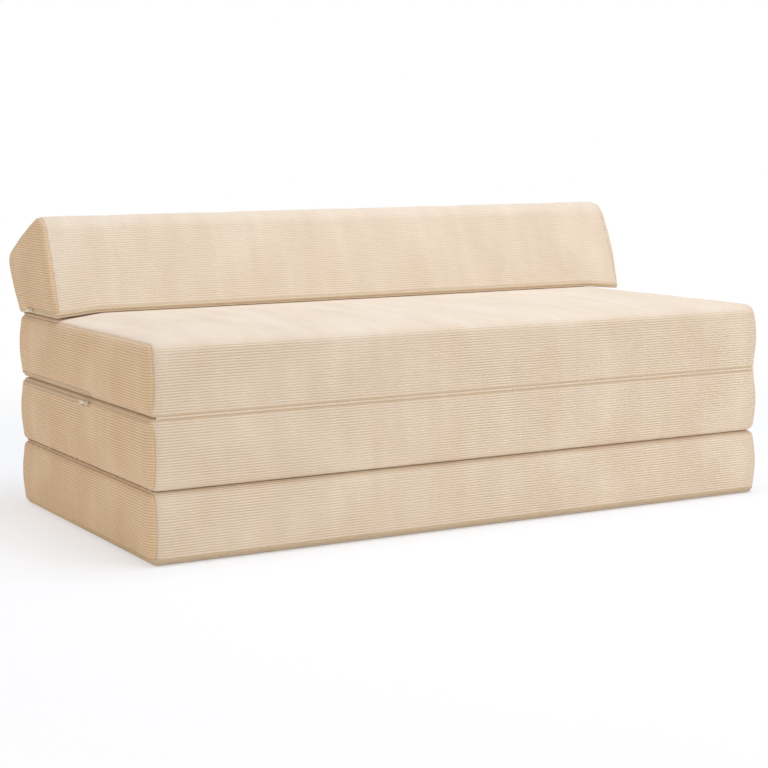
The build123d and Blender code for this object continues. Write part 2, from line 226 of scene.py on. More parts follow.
class Cushion:
    """The shape of one section. Its points are x, y and level, and its level runs from the base
    panel's face, which is on top where the section is upside down. Its corners go round from the
    front's foot: foot, front's top, back's top and heel. Its faces are numbered from the corner
    that they start at: front, top, back and base."""

    seam = 6.0
    zipper_reach = slab_zipper_reach
    hinged = {"base": (2,), "middle": (0, 2), "seat": (0, 2), "backrest": (2,)}
    looseness = 1.0
    ribbed_base = False
    foot_height = 45.0
    edge_blend = 10.0
    probe = 0.01

    def __init__(self, name, base_z, upright, zipper_side, corners, swells, radii, end_radii, top):
        self.name = name
        self.base_z = base_z
        self.upright = upright
        self.zipper_side = zipper_side
        self.corners = np.array(corners, float)
        self.swells = swells
        self.radii = radii
        self.end_radii = end_radii
        self.top = top

    def crown(self, x, y):
        """Rise of the top over the line between its corners."""
        return 0.0 * x

    def base_rise(self, x, y):
        """Rise of the base panel's face over its corners."""
        return 0.0 * x

    def side(self, number, y, level):
        """Distance outside one long face, whose swell is a parabola over its span."""
        start, end = self.corners[number], self.corners[(number + 1) % 4]
        half = np.linalg.norm(end - start) / 2
        along = (end - start) / (2 * half)
        run = (y - start[0]) * along[0] + (level - start[1]) * along[1]
        out = (level - start[1]) * along[0] - (y - start[0]) * along[1]
        return out - bulge(run - half, half, self.swells[number])

    def outside(self, points):
        """Distance outside the cushion: the largest of its faces' distances, edges rounded."""
        x, y, level = np.moveaxis(points, -1, 0)
        front, back = self.side(0, y, level), self.side(2, y, level)
        top = self.side(1, y, level) - self.crown(x, y)
        base = self.side(3, y, level) + self.base_rise(x, y)
        walls, levels = np.maximum(front, back), np.maximum(top, base)
        radius = np.where(front > back,
                          np.where(top > base, self.radii[1], self.radii[0]),
                          np.where(top > base, self.radii[2], self.radii[3]))
        around = round_max(walls, levels, radius)
        end = np.abs(x) - half_length - bulge(level - self.top / 2, self.top / 2, end_swell)
        wall_radius, top_radius, base_radius = self.end_radii
        radius = np.where(top > base, top_radius, base_radius)
        radius += (wall_radius - radius) * step(walls - levels, -self.edge_blend, self.edge_blend)
        return round_max(around, end, radius)

    def slope(self, points, away, axes=(0, 1, 2)):
        """Change of the distance along each free axis, over a hundredth of a millimetre."""
        slope = np.zeros_like(points)
        for axis in axes:
            moved = points.copy()
            moved[..., axis] += self.probe
            slope[..., axis] = (self.outside(moved) - away) / self.probe
        return slope

    def settle(self, points, axes=(0, 1, 2), rounds=6):
        """Points moved along the free axes, down the distance's own slope, onto the surface."""
        points = points.copy()
        gentlest = 0.05
        for _ in range(rounds):
            away = self.outside(points)
            slope = self.slope(points, away, axes)
            points -= (away / np.maximum((slope**2).sum(-1), gentlest))[..., None] * slope
        return points

    def sink(self, points, depth):
        """Points moved straight into the cushion by a depth."""
        slope = self.slope(points, self.outside(points))
        return points - slope * (depth / np.linalg.norm(slope, axis=-1))[..., None]

    def covered(self, y):
        """Share of the top that lies against the next section."""
        return 1.0 + 0.0 * y

    def parting(self, points):
        """Share of the valleys' deeper tone, partly painted shade, that shows on the wrap, where
        the pile parts.
        """
        return 1.0

    def folding(self, points):
        """One on the walls that fold against the next section, and nought away from them."""
        y, level = points[..., 1], points[..., 2]
        walls = [step(self.side(number, y, level), folding_depth, face_top)
                 for number in self.hinged[self.name]]
        return np.max(walls, axis=0)

    def under_top(self, points):
        """Distance outside the top alone."""
        x, y, level = np.moveaxis(points, -1, 0)
        return self.side(1, y, level) - self.crown(x, y)

    def give(self, points, near, away):
        """How far the filled cover stands off the smooth surface: a share of the simulated
        distance, within limits. It only gives inwards where a wall folds against the next section,
        and not at all at the seams, the zipper and where sections lie on each other."""
        x, y, level = np.moveaxis(points, -1, 0)
        inward = self.folding(points)
        top = step(self.under_top(points), face_depth, face_top) * self.covered(y)
        base = step(self.side(3, y, level) + self.base_rise(x, y), face_depth, face_top)
        give = np.clip(give_share * away - folding_draw * inward, -give_inwards,
                       give_outwards * (1 - inward))
        open_share = (1 - np.maximum(top, base)) * step(near, give_start, give_full)
        return self.looseness * give * open_share

    def placed(self, points):
        """Points in the frame's axes."""
        z = self.base_z + (points[..., 2] if self.upright else -points[..., 2])
        return np.stack([points[..., 0], points[..., 1], z], -1)

    def height(self, points):
        """Height of points above the base panel's face."""
        return points[..., 2] - self.base_rise(points[..., 0], points[..., 1])

    def outline(self, x, counts, samples=500):
        """Rows of points round the section at one x: the front from its seam with the base panel,
        the top and the back to its seam, with as many steps as the counts say."""
        share = np.linspace(0, 1, samples)[:, None]
        pieces = []
        for number in range(3):
            start, end = self.corners[number], self.corners[number + 1]
            flat = start + (end - start) * share
            pieces.append(np.column_stack([np.full(samples, x), flat]))
        front, top, back = self.settle(np.stack(pieces), (1, 2), rounds=16)
        seam_at = np.interp(self.seam, self.height(front), run_of(front))
        front = resample(front, np.linspace(0, 1, counts[0] + 1), seam_at)
        top = resample(top, np.linspace(0, 1, counts[1] + 1))
        seam_at = np.interp(self.seam, self.height(back)[::-1], run_of(back)[::-1])
        back = resample(back, np.linspace(0, 1, counts[2] + 1), 0.0, seam_at)
        return [self.settle(piece, (1, 2), rounds=3) for piece in (front, top, back)]

    def rising(self, points, rounds=8):
        """Height as the rows of an end panel count it: above the base panel's face at the foot,
        and above the level of the base's corners higher up."""
        rise = self.base_rise(points[..., 0], points[..., 1])
        height = points[..., 2] - rise
        for _ in range(rounds):
            height = points[..., 2] - rise * (1 - step(height, self.seam, self.foot_height))
        return height

    def end_points(self, height, y, rounds=28):
        """Points of the right end at such a height and y, found along x from outside it."""
        clear = 2.0
        x = np.full(np.shape(y), half_length + end_swell + clear)
        points = np.stack(np.broadcast_arrays(x, y, height), -1)
        for _ in range(rounds):
            rise = self.base_rise(points[..., 0], points[..., 1])
            points[..., 2] = height + rise * (1 - step(height, self.seam, self.foot_height))
            points = self.settle(points, (0,), rounds=1)
        return points

    def end_panel(self, row_step, column_step, first):
        """The right end's panel: rows that each keep one height, from the seam with the base panel
        to just under the seam with the wrap, even steps apart at the end's highest place."""
        fine, level_margin, last_row_gap = 400, 0.01, 0.15
        front, top, back = self.outline(end_seam_x + seam_gap, (fine, 2 * fine, fine))
        loop = np.concatenate([front[:-1], top[:-1], back])
        rising = self.rising(loop)
        high = np.flatnonzero(rising > rising.max() - level_margin)
        peak = high[len(high) // 2]
        heights = np.linspace(self.seam, rising[peak] - last_row_gap, 2 * fine)
        run = run_of(self.end_points(heights, np.full(2 * fine, loop[peak, 1])))
        heights = np.interp(np.linspace(0, run[-1], round(run[-1] / row_step) + 1), run, heights)
        edges = []
        for half in (slice(None, peak + 1), slice(None, peak - 1, -1)):
            ranks = np.maximum.accumulate(rising[half])
            edges.append(np.stack([np.interp(heights, ranks, loop[half, k]) for k in range(3)], 1))
        share = np.linspace(0, 1, fine)
        y = np.outer(edges[0][:, 1], 1 - share) + np.outer(edges[1][:, 1], share)
        grid = self.end_points(heights[:, None], y)
        grid[:, 0], grid[:, -1] = edges
        shares = stations(run_of(grid[0])[-1], column_step, first)
        grid = np.stack([resample(row, shares) for row in grid])
        grid[:, 1:-1] = self.settle(grid[:, 1:-1], (0, 1), rounds=3)
        return grid, shares

    def base_panel(self, wrap, end, columns, shares):
        """The base panel, inside its seams with the wrap and both ends: a blend of its edges,
        brought up onto the surface from below, with its columns cut at even or given shares."""
        down = np.array([0, 0, -seam_gap])
        fine, start_level = 260, -6.0
        t = np.linspace(0, 1, fine)
        right = resample(end[0] + down, t)
        left = right * [-1, 1, 1]
        front, back = wrap[0] + down, wrap[-1] + down
        left[0], left[-1], right[0], right[-1] = front[0], back[0], front[-1], back[-1]
        grid = coons(front, back, left, right, t, columns)
        grid[..., 2] = start_level
        grid = self.settle(grid, (2,), rounds=30)
        grid[0], grid[-1], grid[:, 0], grid[:, -1] = front, back, left, right
        grid = np.stack([resample(column, shares) for column in grid.transpose(1, 0, 2)], 1)
        grid[1:-1, 1:-1] = self.settle(grid[1:-1, 1:-1], rounds=3)
        return grid

    def panels(self, row_step, column_step, base_step, first):
        """The cover's four panels, each a grid of points on the cushion's smooth surface with the
        shares at which its rows and columns lie."""
        fine, middle_x = 400, 0.0
        lengths = [run_of(piece)[-1] for piece in self.outline(middle_x, [fine] * 3)]
        counts = [max(3, round(length / row_step)) for length in lengths]
        columns = stations(2 * end_seam_x, column_step, first)
        outlines = [self.outline(x, counts) for x in (columns * 2 - 1) * end_seam_x]
        wrap = np.stack([np.concatenate([front[:-1], top[:-1], back])
                         for front, top, back in outlines], 1)
        end, end_columns = self.end_panel(row_step, column_step, first)
        base_rows = stations(section_depth, base_step, first)
        if self.ribbed_base:
            base_rows = np.linspace(0, 1, round(backrest_base_depth / row_step) + 1)
        base = self.base_panel(wrap, end, columns, base_rows)
        even = [np.linspace(0, 1, len(grid)) for grid in (wrap, end)]
        return {"wrap": (wrap, even[0], columns), "left": (end * [-1, 1, 1], even[1], end_columns),
                "right": (end, even[1], end_columns), "base": (base, base_rows, columns)}


class Slab(Cushion):
    """A flat section."""

    def __init__(self, name, storey, upright, zipper_side, radii, crowned=False):
        low = storey * section_thickness + (stack_gap / 2 if storey else 0)
        high = (storey + 1) * section_thickness - stack_gap / 2
        height = high - low
        self.crowned = crowned
        corners = [(-half_depth, 0), (-half_depth, height), (half_depth, height), (half_depth, 0)]
        super().__init__(name, low if upright else high, upright, zipper_side, corners,
                         (wall_swell, 0, wall_swell, 0), radii,
                         seat_end_edges if crowned else slab_end_edges, height)

    def crown(self, x, y):
        """Only the seat's top is crowned."""
        return crown_height(x, y) if self.crowned else 0.0 * x

    def covered(self, y):
        """The backrest covers the rear of the seat, and the other tops are covered whole."""
        return step(y, rests_from, rests_full) if self.crowned else 1.0 + 0.0 * y

    def parting(self, points):
        """The nap is stroked nearly flat where people sit, so less of the valleys' deeper tone,
        partly painted shade, shows there.
        """
        stroked = seat_stroked if self.crowned else 0.0
        return 1 - stroked * step(self.under_top(points), face_depth, face_top)


class Wedge(Cushion):
    """The backrest, whose underside follows the seat's crown. Its back face leans on the hinge
    line and its top runs square to it, down to the crest over the front."""

    seam = 4.0
    zipper_reach = backrest_zipper_reach
    looseness = 0.5
    ribbed_base = True

    def __init__(self):
        tilt = np.radians(backrest_back_angle)
        up = np.array([np.cos(tilt), np.sin(tilt)])
        inward = np.array([-up[1], up[0]])
        low = stack_height + stack_gap / 2
        top_swell, back_swell = backrest_swells[1:]
        face = np.array([hinge_reach, stack_height]) + inward * (hinge_clearance + back_swell)
        rear = face + up * (section_thickness - top_swell)
        crest = rear + inward * backrest_top_width
        foot = np.array([hinge_reach - backrest_base_depth, low])
        heel = face + up * ((low - face[1]) / up[1])
        corners = [corner - [0, low] for corner in (foot, crest, rear, heel)]
        super().__init__("backrest", low, True, -1, corners, (*backrest_swells, 0),
                         (backrest_foot_edge, backrest_crest_edge, backrest_rear_edge, hinge_edge),
                         backrest_end_edges, crest[1] + top_swell - low)

    def base_rise(self, x, y):
        """The underside follows the seat's crown, a little off it at both ends."""
        return crown_height(x, y, backrest_end_lift)

    def covered(self, y):
        """Nothing lies on the backrest."""
        return 0.0 * y

    def parting(self, points):
        """The nap is stroked about half flat, so only about half of the valleys' deeper tone,
        partly painted shade, shows.
        """
        return 1 - backrest_stroked


class Mesh:
    """Points and faces gathered from grids and from the strips that join them."""

    def __init__(self):
        self.points, self.faces, self.materials = [], [], []
        self.layers = {"across": [], "along": [], "rib": [], "shade": []}
        self.count = 0

    def grid(self, points, material, **layers):
        """Adds a grid of points, and gives the grid of their numbers."""
        rows, columns = points.shape[:2]
        numbers = self.count + np.arange(rows * columns).reshape(rows, columns)
        self.points.append(points.reshape(-1, 3))
        self.count += rows * columns
        above, below = numbers[:-1], numbers[1:]
        quads = np.stack([above[:, :-1], above[:, 1:], below[:, 1:], below[:, :-1]], -1)
        self.add_faces(quads.reshape(-1, 4), material)
        for name, values in self.layers.items():
            values.append(np.broadcast_to(layers[name], (rows, columns)).ravel())
        return numbers

    def add_faces(self, faces, material):
        """Adds faces, each a row of point numbers."""
        self.faces.append(faces)
        self.materials.append(np.full(len(faces), material))

    def tube(self, rings, material, across, along):
        """Adds a closed bar: rings of points down the first axis, one ring to a column, with both
        of its ends filled in."""
        numbers = self.grid(rings, material, across=across, along=along, rib=web_rib, shade=0.0)
        last, first = numbers[-1], numbers[0]
        self.add_faces(np.stack([last[:-1], last[1:], first[1:], first[:-1]], 1), material)
        half = len(numbers) // 2
        for ring in (numbers[:, 0], numbers[:, -1]):
            out, back = ring[:half], ring[::-1][:half]
            self.add_faces(np.stack([out[:-1], out[1:], back[1:], back[:-1]], 1), material)

    def stitch(self, first, second, material):
        """Joins two rows of numbered points that run side by side: triangle by triangle, the row
        that is behind, by its share of its own length, moves on by one point."""
        places = np.concatenate(self.points)
        shares = []
        for row in (first, second):
            run = run_of(places[row])
            shares.append(run[1:] / run[-1])
        order = np.argsort(np.concatenate(shares), kind="stable")
        on_first = order < len(shares[0])
        at_first, at_second = np.cumsum(on_first), np.cumsum(~on_first)
        apex = np.where(on_first, first[at_first], second[at_second])
        triangles = np.stack([first[at_first - on_first], second[at_second - ~on_first], apex], 1)
        self.add_faces(triangles, material)

    def build(self, name, materials):
        """Makes the object, its points now in metres."""
        mesh = bpy.data.meshes.new(name)
        points = np.concatenate(self.points) * millimetre
        sizes = np.concatenate([np.full(len(f), f.shape[1]) for f in self.faces])
        corners = np.concatenate([f.ravel() for f in self.faces])
        mesh.vertices.add(len(points))
        mesh.vertices.foreach_set("co", points.ravel())
        mesh.loops.add(len(corners))
        mesh.loops.foreach_set("vertex_index", corners)
        mesh.polygons.add(len(sizes))
        mesh.polygons.foreach_set("loop_start", np.cumsum(sizes) - sizes)
        mesh.polygons.foreach_set("material_index", np.concatenate(self.materials))
        mesh.polygons.foreach_set("use_smooth", np.ones(len(sizes), bool))
        mesh.update(calc_edges=True)
        cloth = mesh.uv_layers.new(name="cloth")
        layers = {key: np.concatenate(values) for key, values in self.layers.items()}
        flat = np.stack([layers["along"][corners], layers["across"][corners]], 1) * millimetre
        cloth.data.foreach_set("uv", flat.ravel())
        for key in ("rib", "shade"):
            mesh.attributes.new(key, "FLOAT", "POINT").data.foreach_set("value", layers[key])
        shape = bmesh.new()
        shape.from_mesh(mesh)
        bmesh.ops.recalc_face_normals(shape, faces=shape.faces)
        shape.to_mesh(mesh)
        shape.free()
        for material in materials:
            mesh.materials.append(material)
        piece = bpy.data.objects.new(name, mesh)
        bpy.context.scene.collection.objects.link(piece)
        return piece


def rib_height(across):
    """Height of the wales, from nought in a valley to one: one less the fourth power of a wave."""
    return 1 - np.cos(np.pi * across / wale_pitch) ** 4


def seam_groove(distance):
    """Depth of the groove at a seam: a bell curve over the distance from it."""
    return groove_depth * np.exp(-((distance / groove_width) ** 2))


def puckers(cushion, points, distance):
    """Depth of the small folds that the thread draws beside a seam, away from the zipper: smooth
    noise that fades by a bell curve over the distance from the seam."""
    folds = np.clip(0.5 + 0.5 * waves(points, pucker_pitch, pucker_seed), 0, 1)
    higher = step(cushion.height(points), pucker_start, pucker_full)
    return pucker_depth * folds * higher * np.exp(-((distance / pucker_reach) ** 2))


def slot_depth(cushion, points):
    """Depth of the cloth under the zipper: a level floor with a steep edge at the foot of the
    wall, and over it a lip that rolls in and dies away with height."""
    above_seam = cushion.height(points) - cushion.seam
    side = cushion.zipper_side
    start = cushion.corners[0 if side < 0 else 3][0]
    into_slot = side * (points[..., 1] - start) + cushion.zipper_reach + tape_tail
    there = step(into_slot, slot_end_start, slot_end_full)
    over_slot = above_seam - zipper_slot_width
    well = slot_floor * (1 - step(over_slot, slot_edge_start, slot_edge_end))
    lip = lip_depth * np.exp(-np.maximum(over_slot, 0) / lip_reach)
    return there * np.maximum(well, lip)


def sew(mesh, numbers):
    """Closes a cover: joins its wrap to both end panels, and its base panel to all three."""
    wrap, base = numbers["wrap"], numbers["base"]
    for name, column in (("left", 0), ("right", -1)):
        end = numbers[name]
        border = np.concatenate([end[:-1, 0], end[-1, :-1], end[::-1, -1]])
        mesh.stitch(wrap[:, column], border, 0)
    loop = np.concatenate([wrap[0], numbers["right"][0], wrap[-1, ::-1], numbers["left"][0, ::-1],
                           wrap[0, :1]])
    border = np.concatenate([base[0, :-1], base[:-1, -1], base[-1, :0:-1], base[::-1, 0]])
    mesh.stitch(loop, border, 0)


# The cloth's settings while a cover is filled: stiff to bend, so that it swells in broad waves
filling = {"quality": 4, "mass": 0.4, "tension_stiffness": 12.0, "compression_stiffness": 12.0,
           "shear_stiffness": 4.0, "bending_stiffness": 60.0, "use_pressure": True,
           "uniform_pressure_force": 4.0, "shrink_min": -cloth_to_spare,
           "vertex_group_mass": "held"}


def stuffed(cushion):
    """How far each panel stands off its smooth surface once the cover has been filled: a coarse
    copy of the cover, a little small and with some cloth to spare, is held at its seams and blown
    up by a cloth simulation. Gives a grid of distances for each panel, with its shares."""
    mesh, numbers, held = Mesh(), {}, []
    panels = cushion.panels(cloth_step, cloth_step, cloth_step, cloth_step)
    for name, (grid, _, _) in panels.items():
        near = np.minimum(from_ends(grid), from_ends(grid.transpose(1, 0, 2)).T)
        drawn_in = start_depth * step(near, 0.0, 4 * cloth_step)
        numbers[name] = mesh.grid(cushion.placed(cushion.sink(grid, drawn_in)), 0, across=0.0,
                                  along=0.0, rib=0.0, shade=0.0)
        held.append(np.where(near < seam_held, 1.0, foam_hold).ravel())
    sew(mesh, numbers)
    copy = mesh.build(f"{cushion.name}_filling", [])
    pins, held = copy.vertex_groups.new(name="held"), np.concatenate(held)
    for share in (foam_hold, 1.0):
        pins.add(np.flatnonzero(held == share).tolist(), share, "REPLACE")
    cloth = copy.modifiers.new("Cloth", "CLOTH")
    for name, value in filling.items():
        setattr(cloth.settings, name, value)
    cloth.settings.effector_weights.gravity = 0.0
    cloth.collision_settings.use_collision = False
    cloth.point_cache.frame_start, cloth.point_cache.frame_end = 1, filling_frames
    for frame_number in range(1, filling_frames + 1):
        bpy.context.scene.frame_set(frame_number)
    shape = copy.evaluated_get(bpy.context.evaluated_depsgraph_get()).to_mesh()
    points = np.empty(len(shape.vertices) * 3)
    shape.vertices.foreach_get("co", points)
    points = points.reshape(-1, 3) / millimetre
    points[:, 2] = (points[:, 2] - cushion.base_z) * (1 if cushion.upright else -1)
    away = cushion.outside(points)
    bpy.data.objects.remove(copy)
    bpy.context.scene.frame_set(1)
    return {name: (away[numbers[name]], *panels[name][1:]) for name in panels}


def zipper_route(cushion):
    """The zipper's way round the section, a little outside it: part of one end, all of a long wall
    and part of the other end."""
    clear, fine = 3.0, 1500
    side, start = cushion.zipper_side, cushion.corners[0 if cushion.zipper_side < 0 else 3][0]
    end_y = start - side * (cushion.zipper_reach + tape_tail)
    out, wall = half_length + end_swell + clear, start + side * (wall_swell + clear)
    knots = np.array([(-out, end_y), (-out, wall), (out, wall), (out, end_y)])
    return resample(knots, np.linspace(0, 1, fine))


def beside_zipper(cushion, heights, spacing, rounds=14):
    """Lines on the cushion's surface that follow the zipper at those heights over its seam."""
    route, lines = zipper_route(cushion), []
    for height in heights:
        line = np.column_stack([route, np.full(len(route), cushion.seam + height)])
        for _ in range(rounds):
            line = cushion.settle(line, (0, 1), rounds=1)
            line[:, 2] = cushion.seam + height + cushion.base_rise(line[:, 0], line[:, 1])
        lines.append(resample(line, np.linspace(0, 1, round(run_of(line)[-1] / spacing))))
    share = np.linspace(0, 1, max(len(line) for line in lines))
    return np.stack([resample(line, share) for line in lines])


def zipper_bar(cushion, lines, off):
    """A closed bar whose ring at each place is those lines, moved off the surface."""
    mesh = Mesh()
    rings = cushion.placed(cushion.sink(lines, -off))
    mesh.tube(rings, 0, across=0.0, along=run_of(lines[0])[None])
    return mesh


def tape_bar(cushion):
    """The zipper's tape, in the slot and a little under both of its edges."""
    middle = zipper_slot_width / 2
    reach = middle + tape_lap
    across = np.array([-reach, -tape_flat, tape_flat, reach])
    lines = beside_zipper(cushion, middle + np.append(across, across[::-1]), tape_spacing)
    return zipper_bar(cushion, lines, np.repeat([tape_face, tape_back], len(across))[:, None])


def coil_bar(cushion):
    """The zipper's coil: an oval bar whose bumps, waves along the run, take turns above and below
    the line where the two halves meet."""
    middle = zipper_slot_width / 2
    turns = (2 * np.arange(coil_sides) + 1) * np.pi / coil_sides
    heights = middle + coil_half_width * np.cos(turns)[:, None]
    off = coil_half_height * np.sin(turns)[:, None] - coil_half_height
    lines = beside_zipper(cushion, heights[:, 0], coil_pitch / 4)
    phase = 2 * np.pi * run_of(lines[0]) / coil_pitch + np.where(heights > middle, 0.0, np.pi)
    swell = 0.5 + 0.5 * np.cos(phase)
    lines[..., 2] += coil_pinch * (heights - middle) * (swell - 1)
    bumps = coil_bump * (off > -coil_half_height) * (swell - coil_bump_middle)
    return zipper_bar(cushion, lines, off + bumps)


# Places of the cloths in a cushion's list of materials
ribbed_cloth, shaded_left_end_cloth, plain_cloth = range(3)


def seam_distance(name, grid):
    """Distance of each point of a panel from the nearest seam."""
    if name == "wrap":
        return np.minimum(from_ends(grid), end_seam_x - np.abs(grid[..., 0]))
    if name == "base":
        return np.minimum(from_ends(grid), from_ends(grid.transpose(1, 0, 2)).T)
    edge = np.concatenate([grid[:, 0], grid[-1], grid[::-1, -1], grid[0, ::-1]])
    edge = resample(edge, np.linspace(0, 1, round(run_of(edge)[-1] / seam_spacing)))
    return near_line(grid, edge)


def zipper_slot(cushion, name, grid):
    """Depth of the zipper's slot in a panel: in both ends and in the wall on the zipper's side."""
    if name == "base":
        return 0.0
    depth = slot_depth(cushion, grid)
    if name == "wrap":
        in_front = grid[..., 1] < cushion.corners[:, 0].mean()
        return np.where(in_front == (cushion.zipper_side < 0), depth, 0.0)
    return depth


def upholster(cushion, materials):
    """The sewn cover of one cushion: a wrap over the front, top and back, two end panels and a
    base panel, each a grid on the cushion's surface, with grooves where they are sewn."""
    mesh, numbers = Mesh(), {}
    row_step = wale_pitch / rows_per_wale
    panels = cushion.panels(row_step, column_step, base_row_step, edge_step)
    filled = stuffed(cushion)
    for name, (grid, *shares) in panels.items():
        across = run_of(grid) if name == "base" else np.arange(len(grid))[:, None] * row_step
        along = grid[:1, :, 0] if name == "wrap" else run_of(grid.transpose(1, 0, 2)).T
        near = seam_distance(name, grid)
        plain = name == "base" and not cushion.ribbed_base
        rib = np.broadcast_to(1.0 if plain else rib_height(across), near.shape)
        low = 1 - step(cushion.height(grid), pucker_start, pucker_full)
        shallow = 1 - (1 - groove_at_fold) * cushion.folding(grid) * low
        # The groove's depth, at the seams and in the zipper's slot, is kept as the shade attribute,
        # which the corduroy turns into painted shade.
        groove = np.maximum(seam_groove(near) * shallow, zipper_slot(cushion, name, grid))
        depth = np.maximum(wale_depth * (1 - rib) * step(near, 0.0, wale_fade), groove)
        depth = depth + puckers(cushion, grid, near)
        if filled:
            away, *coarse = filled[name]
            depth = depth - cushion.give(grid, near, from_grid(away, coarse, *shares))
        points = cushion.placed(cushion.sink(grid, depth))
        # The left end panel takes a darker, deeper tan copy of the corduroy, which is painted shade
        # on that end.
        cloth = plain_cloth if plain else shaded_left_end_cloth if name == "left" else ribbed_cloth
        shown = 1 - (1 - rib) * cushion.parting(grid) if name == "wrap" else rib
        numbers[name] = mesh.grid(points, cloth, across=across, along=along, rib=shown,
                                  shade=groove)
    sew(mesh, numbers)
    return mesh.build(f"{cushion.name}_cushion", materials)


cushions = [
    Slab("base", 0, True, -1, (free_edge, free_edge, hinge_edge, free_edge)),
    Slab("middle", 1, False, 1, (hinge_edge, free_edge, hinge_edge, free_edge)),
    Slab("seat", 2, True, 1, (hinge_edge, seat_front_edge, hinge_edge, free_edge), crowned=True),
    Wedge(),
]


# Materials. The sizes of their patterns and the heights of their reliefs are in millimetres, and
# the grain of the pile and of the yarn is drawn about three times too coarse, so that it shows. A
# wave texture at scale one has a band each 0.314 units. Two sets of settings serve to mix colours.
pile_grain, tuft_length, nap_patch, nap_streak, brushed_patch = 1.1, 3.0, 95.0, 34.0, 150.0
yarn_grain, twill_pitch, tape_rib_pitch, fuzz_patch = 0.9, 1.0134, 1.2, 6.0
rubbed_patch, handled_patch, tumbled_mark = 9.0, 2.5, 0.3
pile_relief, twill_relief, tape_relief, mark_relief = 0.22, 0.2, 0.1, 0.03
wave_band = 2 * np.pi / 20
mixed = {"data_type": "RGBA"}
multiplied = {"data_type": "RGBA", "blend_type": "MULTIPLY"}


def colour(code):
    """A hex sRGB colour in linear light."""
    parts = np.array([int(code[k:k + 2], 16) for k in (1, 3, 5)]) / 255
    linear = np.where(parts <= 0.04045, parts / 12.92, ((parts + 0.055) / 1.055) ** 2.4)
    return (*linear, 1.0)


def feed(tree, node, inputs):
    """Sets a node's inputs by name or number: sockets are linked and values are set."""
    for name, value in dict(inputs).items():
        if isinstance(value, bpy.types.NodeSocket):
            tree.links.new(value, node.inputs[name])
        else:
            node.inputs[name].default_value = value


def add_node(tree, kind, inputs=(), output=0, **settings):
    """Adds a shader node with its settings and inputs, and gives one of its outputs."""
    made = tree.nodes.new("ShaderNode" + kind)
    for name, value in settings.items():
        setattr(made, name, value)
    feed(tree, made, inputs)
    return made.outputs[output]


def finish_of(name, code, roughness, metallic=0.0):
    """A material with its base colour, its node tree and its shader."""
    material = bpy.data.materials.new(name)
    material.use_nodes = True
    tree = material.node_tree
    shader = tree.nodes["Principled BSDF"]
    feed(tree, shader, {"Base Color": colour(code), "Roughness": roughness,
                        "Metallic": metallic})
    return material, tree, shader


def mottle(tree, place, size, detail=2.0, low=0.3, high=0.7):
    """An uneven pattern with patches about that many millimetres wide: noise, spread from nought
    to one."""
    raw = add_node(tree, "TexNoise", {"Vector": place, "Scale": 1 / size, "Detail": detail})
    return add_node(tree, "MapRange", {"Value": raw, "From Min": low, "From Max": high})


def cloth_place(tree, along=1.0, across=1.0):
    """Place on the cloth in millimetres, stretched along its wales and across them."""
    flat = add_node(tree, "UVMap", uv_map="cloth")
    stretch = (along / millimetre, across / millimetre, 0)
    return add_node(tree, "VectorMath", {0: flat, 1: stretch}, operation="MULTIPLY")


def corduroy_of(name, ridge, valley, nap_up, nap_down):
    """Cut-pile cotton corduroy: matt, with a soft bloom at glancing angles, paler along the tops
    of its wales and deeper in the valleys: partly the ground weave, which shows where the pile
    parts, and partly painted shade in the valleys. The nap lies in broad patches, so that the same
    cloth reads creamy here and pinker there, and where it is brushed flat the valleys nearly close."""
    material, tree, shader = finish_of(name, ridge, 0.92)
    rib = add_node(tree, "Attribute", attribute_name="rib", output="Fac")
    seam = add_node(tree, "Attribute", attribute_name="shade", output="Fac")
    pile = mottle(tree, cloth_place(tree, 1.0, 1.6), pile_grain)
    tufts = mottle(tree, cloth_place(tree, 0.35, 1.0), tuft_length)
    patches = mottle(tree, cloth_place(tree, 1.0, 0.45), nap_patch, detail=1.0, low=0.35,
                     high=0.65)
    streaks = mottle(tree, cloth_place(tree, 1.0, 0.12), nap_streak)
    brushed = mottle(tree, cloth_place(tree, 0.8, 1.0), brushed_patch, detail=1.0, low=0.4,
                     high=0.62)

    tint = add_node(tree, "Mix", {0: patches, 6: colour(nap_up), 7: colour(nap_down)}, 2, **mixed)
    tops = add_node(tree, "Mix", {0: 0.5, 6: colour(ridge), 7: tint}, 2, **mixed)
    for pattern, darkest, palest in ((pile, 0.94, 1.05), (streaks, 0.965, 1.03)):
        worn = add_node(tree, "MapRange", {"Value": pattern, "To Min": darkest, "To Max": palest})
        tops = add_node(tree, "Mix", {0: 1.0, 6: tops, 7: worn}, 2, **multiplied)

    # The valley colour, partly the ground weave and partly painted shade, shows by the depth of the
    # rib, and less where the pile is brushed flat.
    closed = add_node(tree, "MapRange", {"Value": brushed, "To Min": 0.0, "To Max": 0.4})
    raised = add_node(tree, "MapRange", {"Value": rib, "From Min": 0.0, "From Max": 0.85,
                                         "To Min": closed})
    base = add_node(tree, "Mix", {0: raised, 6: colour(valley), 7: tops}, 2, **mixed)
    # Painted shade in the seams' grooves and the zipper's slot: the colour turns towards the valley
    # colour with the groove's depth.
    painted_seam_shade = add_node(tree, "MapRange", {"Value": seam, "From Min": 0.4, "From Max": 2.6,
                                       "To Max": 0.5})
    base = add_node(tree, "Mix", {0: painted_seam_shade, 6: base, 7: colour(valley)}, 2, **mixed)
    rough = add_node(tree, "Math", {0: pile, 1: tufts}, operation="ADD")
    bump = add_node(tree, "Bump", {"Height": rough, "Strength": 0.5,
                                   "Distance": pile_relief * millimetre})
    feed(tree, shader, {"Base Color": base, "Normal": bump, "Specular IOR Level": 0.15,
                        "Sheen Weight": 0.25, "Sheen Roughness": 0.5,
                        "Sheen Tint": colour("#fff6e8")})
    return material


